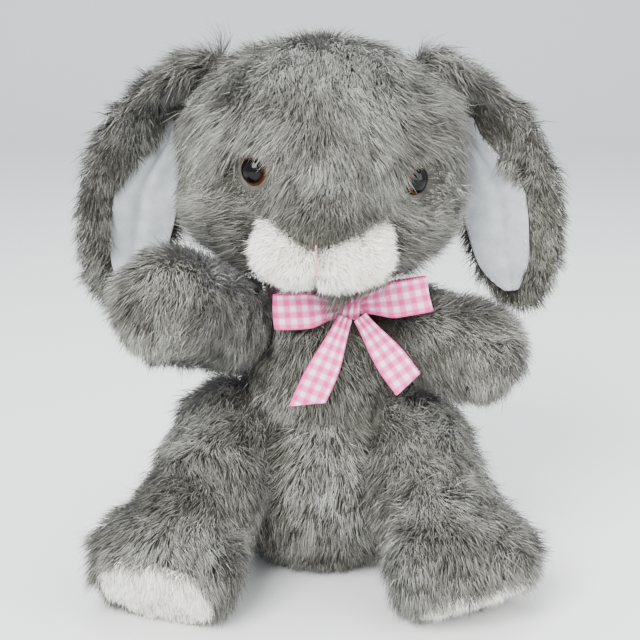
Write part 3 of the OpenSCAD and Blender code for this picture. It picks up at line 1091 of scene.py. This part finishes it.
def make_stitches(name, rows, body):
    """Short thread stitches round the edge of a lining."""
    edge = np.concatenate([rows[1:-1, 1], rows[-2, 1:-1], rows[1:-1, -2][::-1]])
    steps = steps_along(edge)
    pitch, stitch = 3.4, 2.2
    angles = np.arange(6) / 6 * math.tau
    points, faces = [], []
    normal = unit(np.cross(rows[2, 5] - rows[1, 5], rows[1, 6] - rows[1, 5]))
    for start in np.arange(1, steps[-1] - pitch, pitch):
        at = np.linspace(start, start + stitch, 5)
        line = np.stack([np.interp(at, steps, edge[:, k]) for k in range(3)], axis=1)
        arch = np.array([-0.3, 0.35, 0.5, 0.35, -0.3])[:, None] * normal
        ahead = unit(np.gradient(line, axis=0))
        aside = unit(np.cross(ahead, normal))
        above = np.cross(aside, ahead)
        made, quads = loft(tube_rings(line + arch, aside, above, 0.22, angles))
        faces += [tuple(i + len(points) for i in quad) for quad in quads]
        points += made.tolist()
    piece = smooth_object(name, points, faces, WHITE_THREAD)
    fix_normals(piece)
    declare(piece, body, "ear_lining")


# ---- Limbs ----

def make_arm(side, joint, end, seed):
    body = f"arm_{side}"
    skin = stuffed(f"{body}_skin", rods_mesh(body, [[joint, end]]), GROUND)
    declare(skin, body, "fur", f"{body}_shell", f"{body}_filling", fill=0.8)

    def keep(points, normals):
        return clear_of(points, BODY_FORMS, -1, 5)

    thick = coat(GREY, density=3.2, length=10, width=0.32, frizz=0.85)
    pile(f"{body}_fur", skin, body, "fur", thick, limb_flow(joint, end), keep, seed)


def make_leg(side, joint, foot, seed):
    body = f"leg_{side}"
    middle = (np.array(foot[0][0]) + np.array(foot[1][0])) / 2
    ankle = (tuple(middle), foot[1][1])
    out = unit(SOLE_OUT[side])

    def beyond_sole(points):
        return (points - middle) @ out - SOLE_DEPTH

    def flattened(points):
        pressed = np.maximum(beyond_sole(points), 0) * 0.82
        return above_floor(points - pressed[:, None] * out)

    def on_sole(points, normals):
        return (beyond_sole(points) > -1.0) & (normals @ out > 0.55)

    skin = stuffed(f"{body}_skin", rods_mesh(body, [[joint, ankle], foot]), GROUND, flattened)
    declare(skin, body, "fur", f"{body}_shell", f"{body}_filling", fill=0.75)

    def keep(points, normals):
        return clear_of(points, BODY_FORMS, -1, 5) * ~on_sole(points, normals)

    thick = coat(GREY, density=2.7, length=11, width=0.34, frizz=0.75)
    pile(f"{body}_fur", skin, body, "fur", thick, limb_flow(joint, ankle, sag=0.7), keep, seed)
    make_sole(side, skin, on_sole, out, seed + 5)


def make_sole(side, skin, on_sole, out, seed):
    """A cream patch over the end of a foot, sewn to its skin."""
    name = f"sole_{side}_patch"
    made = bmesh.new()
    made.from_mesh(skin.data)
    made.faces.ensure_lookup_table()
    centres = np.array([f.calc_center_median() for f in made.faces]) / MM
    ways = np.array([f.normal for f in made.faces])
    outside = [made.faces[i] for i in np.nonzero(~on_sole(centres, ways))[0]]
    bmesh.ops.delete(made, geom=outside, context="FACES")
    mesh = bpy.data.meshes.new(name)
    made.to_mesh(mesh)
    made.free()
    mesh.materials.clear()
    patch = new_object(name, mesh, CREAM_GROUND)
    with_modifier(patch, "SMOOTH", factor=0.5, iterations=4)
    with_modifier(patch, "SOLIDIFY", thickness=1.4 * MM, offset=1.0)
    write_points(patch.data, above_floor(read_points(patch.data) / MM, 0.4) * MM)
    declare(patch, f"leg_{side}", "cream_plush", f"sole_{side}", fill=0.3)

    def keep(points, normals):
        return (normals @ out > 0.3).astype(float)

    short = coat(CREAM, density=6, length=5.0, frizz=0.7, clump=4.0)
    flow = fixed_flow(0, -0.35, -1)
    pile(f"sole_{side}_fur", patch, f"leg_{side}", "cream_plush", short, flow, keep, seed)


# ---- Torso ----

def make_torso():
    skin = stuffed("torso_skin", rods_mesh("torso", [[BELLY, CHEST, NECK]]), GROUND, torso_shape)
    declare(skin, "torso", "fur", "torso_shell", "torso_filling", fill=0.85)

    def keep(points, normals):
        clear = clear_of(points, list(LIMBS.values()) + [head_distance], -2, 3)
        band = (points[:, 2] > BAND[0]) & (points[:, 2] < BAND[1])
        seat = smoothstep(points[:, 2], 0.9, 4)
        return clear * np.where(band, 0.25, 1) * (0.35 + 0.65 * seat)

    thick = coat(GREY, density=2.8, length=11.5)
    pile("torso_fur", skin, "torso", "fur", thick, torso_flow, keep, seed=51)


def make_tail():
    skin = stuffed("tail_skin", rods_mesh("tail", [[TAIL]]), GROUND)
    declare(skin, "torso", "fur", "tail", fill=0.7)
    fluffy = coat(GREY, density=4.5, length=12, lift=1.1, frizz=1.0)
    pile("tail_fur", skin, "torso", "fur", fluffy, fixed_flow(0, 0.6, -0.6), seed=61)


# ---- Ribbon bow ----

SPANS = np.linspace(-0.5, 0.5, 17)


def woven(name, rows, weave, body, node):
    """A strip of the gingham; weave holds the millimetres across and along it."""
    piece = ribbon_of(name, rows, RIBBON_T, GINGHAM, np.array(weave))
    with_modifier(piece, "SUBSURF", levels=1)
    declare(piece, body, "gingham", node)
    return piece


def ribbon(name, line, ways, width, replaced, pleat=None, start=0.0):
    """A ribbon along a line of points; ways are the directions across it.

    pleat(step, spans) is how far the ribbon's points stand off its face.
    """
    line, ways = np.asarray(line, float), unit(ways)
    steps = steps_along(line)
    widths = np.broadcast_to(width, len(line))
    rows, weave = [], []
    ahead = unit(np.gradient(line, axis=0))
    for i, at in enumerate(line):
        face = np.cross(ahead[i], ways[i])
        fold = pleat(steps[i], SPANS) if pleat else np.zeros_like(SPANS)
        rows.append(at + np.outer(SPANS * widths[i], ways[i]) + np.outer(fold, face))
        weave.append(np.stack([SPANS * RIBBON_W, np.full_like(SPANS, steps[i] + start)], axis=1))
    return woven(name, rows, weave, "torso", replaced), steps[-1]


def make_neck_band():
    angles = np.linspace(0, math.tau, 73)
    line = [(24.6 * math.cos(a), 24.6 * math.sin(a), 129 + 0.8 * math.sin(3 * a)) for a in angles]
    ways = np.tile([0, 0, 1.0], (len(angles), 1))
    piece, length = ribbon("neck_band", line, ways, RIBBON_W - 1, "neck_ribbon")


def make_knot():
    """The ribbon wrapped round the middle of the bow."""
    angles = np.linspace(0, math.tau, 41)
    x, y, z = KNOT_AT
    line = [(x + 0.4 * math.sin(a), y + 3.6 * math.cos(a), z + 5.2 * math.sin(a)) for a in angles]
    ways = np.tile([1.0, 0, 0.15], (len(angles), 1))

    def pleat(step, spans):
        return 0.45 * np.cos(spans * 22) + 0.2 * np.sin(step * 0.7)

    piece, length = ribbon("bow_knot_wrap", line, ways, 9.0, "bow_knot", pleat, start=2.0)


def make_loop(side, root, tip, seed_turn):
    """A loop: out in front, a soft fold at the end, and back behind."""
    root, tip = np.array(root, float), np.array(tip, float)
    out = unit(tip - root)
    reach = np.linalg.norm(tip - root)
    across = unit(np.array([0, 0.06, 1.0]) - out * (np.array([0, 0.06, 1.0]) @ out))
    back = np.cross(out, across)
    back = back if back[1] > 0 else -back
    line, ways, widths = [], [], []
    for s in np.linspace(0, 1, 57):
        angle = s * math.tau
        x = (1 - math.cos(angle)) / 2
        depth = -math.sin(angle) * (1.6 + 3.0 * math.sqrt(max(x, 0))) * (1 - 0.35 * x)
        line.append(root + out * reach * x ** 0.8 + back * depth)
        ways.append(across + out * 0.05 * math.sin(angle + seed_turn))
        widths.append(RIBBON_W * (0.5 + 0.5 * smoothstep(np.array(x), 0.0, 0.45)) * 1.05)

    def pleat(step, spans):
        near = math.exp(-min(step, abs(2 * reach - step)) / 6)
        return near * 1.2 * np.cos(spans * 18 + seed_turn) + 0.25 * np.sin(step * 0.35 + spans * 5)

    name = f"bow_loop_{side}"
    piece, length = ribbon(f"{name}_ribbon", line, ways, widths, name, pleat)


def make_bow_tail(side, pivot, end, cut, bend):
    """A tail that hangs from the knot, gathered at the top and cut on a slant."""
    pivot, end = np.array(pivot, float), np.array(end, float)
    down = unit(end - pivot)
    reach = np.linalg.norm(end - pivot)
    across = unit(np.cross(down, np.array([0, 1.0, 0])))
    across = across if across[0] > 0 else -across
    outward = np.cross(across, down)
    outward = outward if outward[1] < 0 else -outward
    rows, weave = [], []
    for s in np.linspace(0, 1, 45):
        wide = RIBBON_W * (0.4 + 0.56 * float(smoothstep(np.array(s), -0.1, 0.75)))
        gather = math.exp(-s * 7)
        row = []
        for v in SPANS:
            along = s * (reach + cut * 2 * v)
            rise = 1.3 * math.sin(s * math.pi * 1.1) + bend * math.sin(s * 5 + v * 2.2) * s
            rise += gather * 1.3 * math.cos(v * 19)
            row.append(pivot + down * along + across * wide * v + outward * rise)
        rows.append(row)
        weave.append(np.stack([SPANS * RIBBON_W, s * (reach + cut * 2 * SPANS)], axis=1))
    name = f"bow_tail_{side}"
    piece = woven(f"{name}_ribbon", rows, weave, name, name)


def make_bow():
    make_neck_band()
    make_knot()
    x, y, z = KNOT_AT
    make_loop("left", (x - 3, y, z), (x - 33, y - 2, z - 1.5), 0.4)
    make_loop("right", (x + 3, y, z + 1), (x + 34, y - 1, z + 6.5), 1.9)
    make_bow_tail("left", (11, -39, 122), (-5.5, -47, 85), -4.0, 0.7)
    make_bow_tail("right", (17, -39, 122), (38, -46.5, 94), -1.0, -0.8)


# ---- Carried-over CAD nodes ----

def finish_washers():
    material = mottled("washer_plastic", (213, 213, 209), (232, 232, 228), **HARD_PLASTIC)
    for side in ("left", "right"):
        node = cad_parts[f"eye_washer_{side}"]
        node.data.materials.clear()
        node.data.materials.append(material)


# ---- Camera, floor and light ----

def make_camera():
    target, distance, elevation = Vector((0, 0, 0.111)), 0.600, math.radians(14)
    camera = new_object("camera", bpy.data.cameras.new("camera"))
    back = Vector((0, -math.cos(elevation), math.sin(elevation)))
    camera.location = target + back * distance
    camera.rotation_euler = (-back).to_track_quat("-Z", "Y").to_euler()
    camera.data.lens = 73.35
    camera.data.clip_start = 0.05
    scene.camera = camera


def make_floor():
    """A pale sheet that is flat under the rabbit and sweeps up far behind it."""
    reach, bend, height, half_width = 1.7, 0.8, 3.5, 5.0
    turns = np.radians(np.linspace(0, 90, 24))
    sweep = [(reach + bend * math.sin(a), bend * (1 - math.cos(a))) for a in turns]
    profile = [(-4.0, 0.0), *sweep, (reach + bend, height)]
    points = [(x, y, z) for y, z in profile for x in (-half_width, half_width)]
    faces = [(2 * i, 2 * i + 1, 2 * i + 3, 2 * i + 2) for i in range(len(profile) - 1)]
    mesh = bpy.data.meshes.new("floor")
    mesh.from_pydata(points, [], faces)
    mesh.shade_smooth()
    new_object("floor", mesh, plain("pale_floor", (232, 232, 230), 0.7))


def area_light(name, place, size, energy):
    """A white lamp that faces the rabbit."""
    light = bpy.data.lights.new(name, "AREA")
    light.size = size
    light.energy = energy
    lamp = new_object(name, light)
    lamp.location = place
    back = Vector(place) - Vector((0, 0, 0.12))
    lamp.rotation_euler = back.to_track_quat("Z", "Y").to_euler()


def make_light():
    world = bpy.data.worlds.new("studio")
    scene.world = world
    world.use_nodes = True
    sky = world.node_tree.nodes["Background"].inputs
    sky["Color"].default_value = (0.86, 0.92, 1.0, 1)
    sky["Strength"].default_value = 1.2
    area_light("key", (-0.45, -0.95, 0.95), 0.7, 42)
    area_light("fill", (0.9, -0.6, 0.5), 0.8, 13)
    area_light("top", (0.1, 0.3, 1.2), 0.9, 14)
    area_light("catch", (-0.14, -1.0, 0.40), 0.05, 0.6)


make_camera()
make_head()
make_muzzle("left", 21)
make_ear("left", 31)
make_muzzle("right", 22)
make_ear("right", 41)
eye_material = eye_plastic("eye_plastic")
for side in ("left", "right"):
    make_eye(side, eye_material)
make_muzzle_thread()
make_arm("left", SHOULDER_LEFT, PAW_LEFT, 71)
make_arm("right", SHOULDER_RIGHT, PAW_RIGHT, 72)
make_leg("left", HIP_LEFT, FOOT_LEFT, 81)
make_leg("right", HIP_RIGHT, FOOT_RIGHT, 82)
make_torso()
make_tail()
make_bow()
finish_washers()
make_floor()
make_light()
